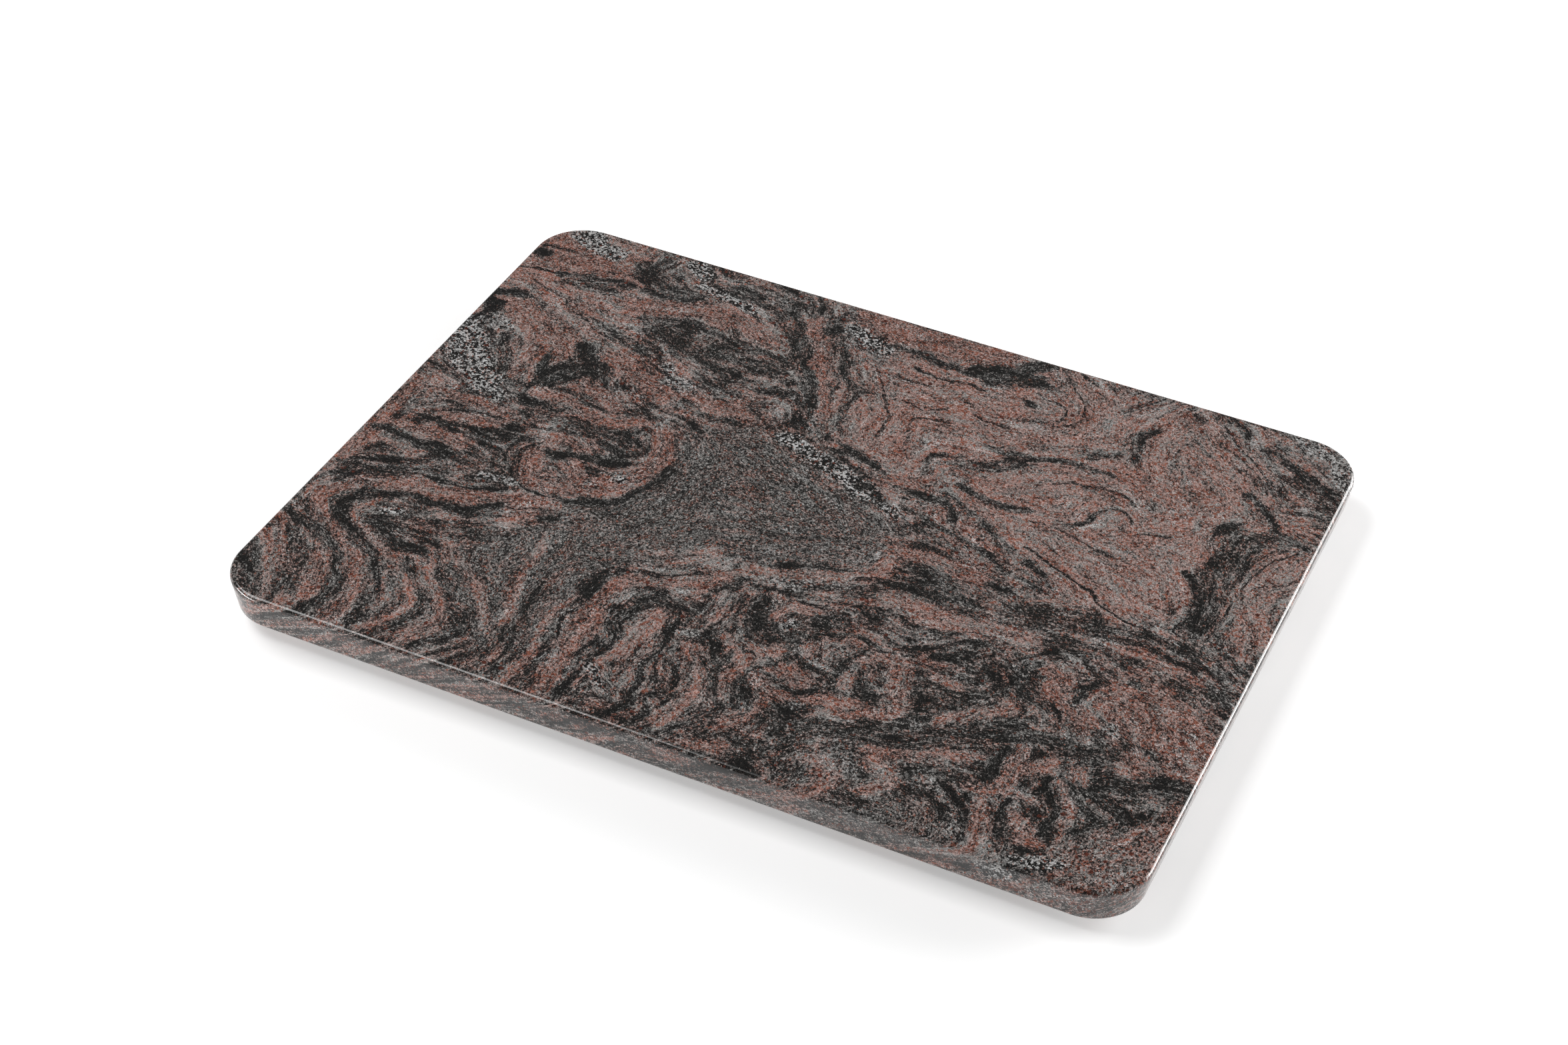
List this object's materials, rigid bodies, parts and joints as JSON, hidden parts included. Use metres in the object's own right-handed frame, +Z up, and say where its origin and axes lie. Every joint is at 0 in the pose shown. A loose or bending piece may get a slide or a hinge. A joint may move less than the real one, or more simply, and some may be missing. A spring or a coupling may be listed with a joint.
{
  "type": "granite slab",
  "caption": "Rectangular polished stone slab with rounded corners and eased edges, on small stick-on rubber feet, used as a hard flat surface for tooling leather.",
  "frame": {"origin": "middle of the footprint, on the bench that the feet stand on", "axes": "+X along the slab's long side, +Y along its short side to the back, +Z up, square to the polished face"},
  "size_m": [0.4, 0.3, 0.0234],
  "materials": {
    "polished_granite": "polished granite gneiss: folded bands of charcoal, salmon pink and grey with rust red, black and white grains",
    "foot_rubber": "matte moulded black rubber",
    "adhesive": "translucent off-white acrylic adhesive"
  },
  "bodies": {
    "root": {"granite_slab": "polished_granite", "rubber_foot_front_left": "foot_rubber", "rubber_foot_front_right": "foot_rubber", "rubber_foot_back_left": "foot_rubber", "rubber_foot_back_right": "foot_rubber", "adhesive_disc_front_left": "adhesive", "adhesive_disc_front_right": "adhesive", "adhesive_disc_back_left": "adhesive", "adhesive_disc_back_right": "adhesive"}
  },
  "joints": []
}
